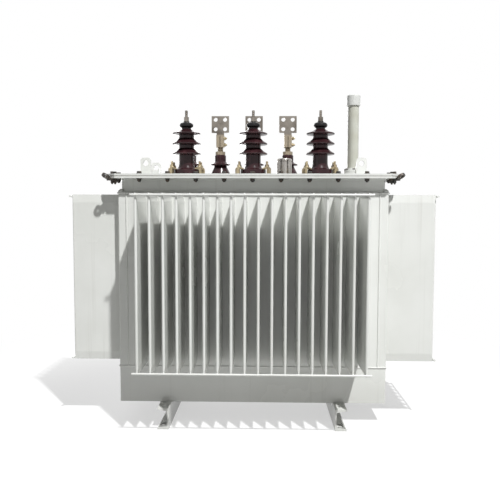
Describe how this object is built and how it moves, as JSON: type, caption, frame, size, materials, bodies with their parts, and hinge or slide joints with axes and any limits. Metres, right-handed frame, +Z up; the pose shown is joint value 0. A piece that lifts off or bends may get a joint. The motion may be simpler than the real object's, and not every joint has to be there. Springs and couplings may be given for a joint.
{
  "type": "power transformer",
  "caption": "Oil-filled power transformer: sealed tank with corrugated fin walls on foot channels, bolted cover with high- and low-voltage bushings, valve, oil gauge and lugs.",
  "frame": {"origin": "on the ground under the middle of the tank", "axes": "+X along the tank, +Y from the high-voltage side to the low-voltage side, +Z up"},
  "size_m": [1.4054, 0.8124, 1.278],
  "materials": {
    "tank_paint": "satin pale grey-white paint",
    "core": "not seen",
    "gasket_rubber": "matte black",
    "porcelain": "dark maroon glaze",
    "clamp_zinc": "yellow passivated zinc",
    "terminal_tin": "dull tin plate",
    "valve_metal": "polished can",
    "gauge_tube": "cream plastic",
    "gauge_cap": "white plastic",
    "dark_steel": "dark oiled steel"
  },
  "bodies": {
    "root": {"left_base_channel": "tank_paint", "right_base_channel": "tank_paint", "tank_base_pan": "tank_paint", "core_and_oil": "core", "front_corrugated_wall": "tank_paint", "back_corrugated_wall": "tank_paint", "left_corrugated_wall": "tank_paint", "right_corrugated_wall": "tank_paint", "corner_posts": "tank_paint", "front_tie_rods": "tank_paint", "back_tie_rods": "tank_paint", "left_tie_rods": "tank_paint", "right_tie_rods": "tank_paint", "tank_rim": "tank_paint", "tank_flange": "tank_paint", "cover_gasket": "gasket_rubber", "cover_plate": "tank_paint", "hv_insulator_left": "porcelain", "hv_insulator_middle": "porcelain", "hv_insulator_right": "porcelain", "hv_clamps_left": "clamp_zinc", "hv_clamps_middle": "clamp_zinc", "hv_clamps_right": "clamp_zinc", "hv_terminal_left": "terminal_tin", "hv_terminal_middle": "terminal_tin", "hv_terminal_right": "terminal_tin", "lv_insulator_neutral": "porcelain", "lv_insulator_left": "porcelain", "lv_insulator_middle": "porcelain", "lv_insulator_right": "porcelain", "lv_stud_neutral": "terminal_tin", "lv_stud_left": "terminal_tin", "lv_stud_middle": "terminal_tin", "lv_stud_right": "terminal_tin", "lv_palm_left": "terminal_tin", "lv_palm_middle": "terminal_tin", "lv_palm_right": "terminal_tin", "relief_valve": "valve_metal", "oil_gauge_base": "tank_paint", "oil_gauge_tube": "gauge_tube", "oil_gauge_cap": "gauge_cap", "lifting_lugs": "tank_paint", "lashing_eyes": "dark_steel"}
  },
  "joints": []
}
